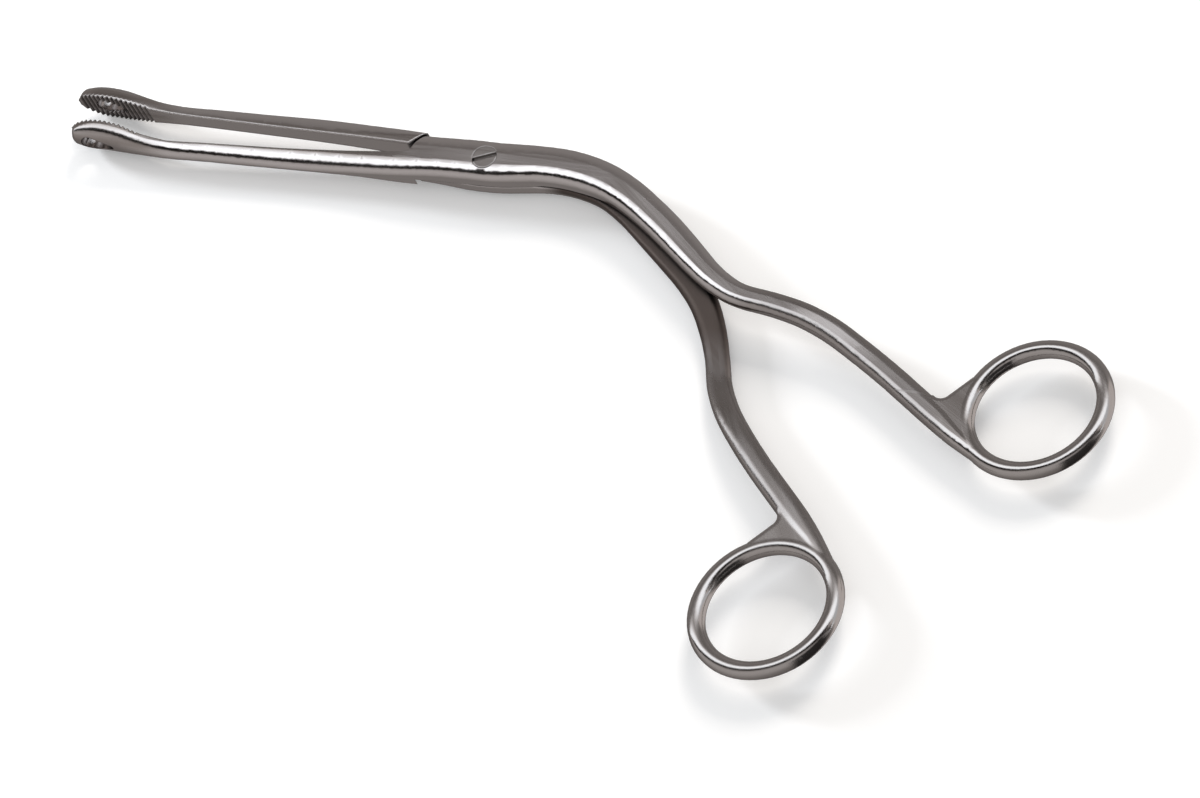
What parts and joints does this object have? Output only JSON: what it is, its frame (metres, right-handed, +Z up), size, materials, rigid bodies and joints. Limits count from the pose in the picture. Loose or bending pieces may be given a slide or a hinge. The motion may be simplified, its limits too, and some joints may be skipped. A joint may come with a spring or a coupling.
{
  "type": "intubation forceps",
  "caption": "Long angled airway forceps: crossed forged levers with a screw lap joint, a side bend, oval finger rings and domed, windowed, serrated jaws.",
  "frame": {"origin": "on the pivot axis, at the flat underside of the joint where the forceps lie on a table", "axes": "+X along the jaws from the pivot to the tips, +Z up along the pivot axis towards the screw's slot, +Y towards the side that the handles bend to"},
  "size_m": [0.2469, 0.1128, 0.008],
  "materials": {
    "upper_lever_steel": "satin brushed forged stainless steel with polished edges",
    "lower_lever_steel": "satin brushed forged stainless steel with polished edges",
    "screw_steel": "turned stainless steel ground flush with the lever"
  },
  "bodies": {
    "lower": {"lower_lever": "lower_lever_steel", "pivot_screw": "screw_steel"},
    "upper": {"upper_lever": "upper_lever_steel"}
  },
  "joints": [
    {"name": "jaw_pivot", "type": "hinge", "parent": "lower", "child": "upper", "pos_m": [0, 0, 0.004], "axis": [0, 0, 1], "range_deg": [-3.4, 25]}
  ]
}
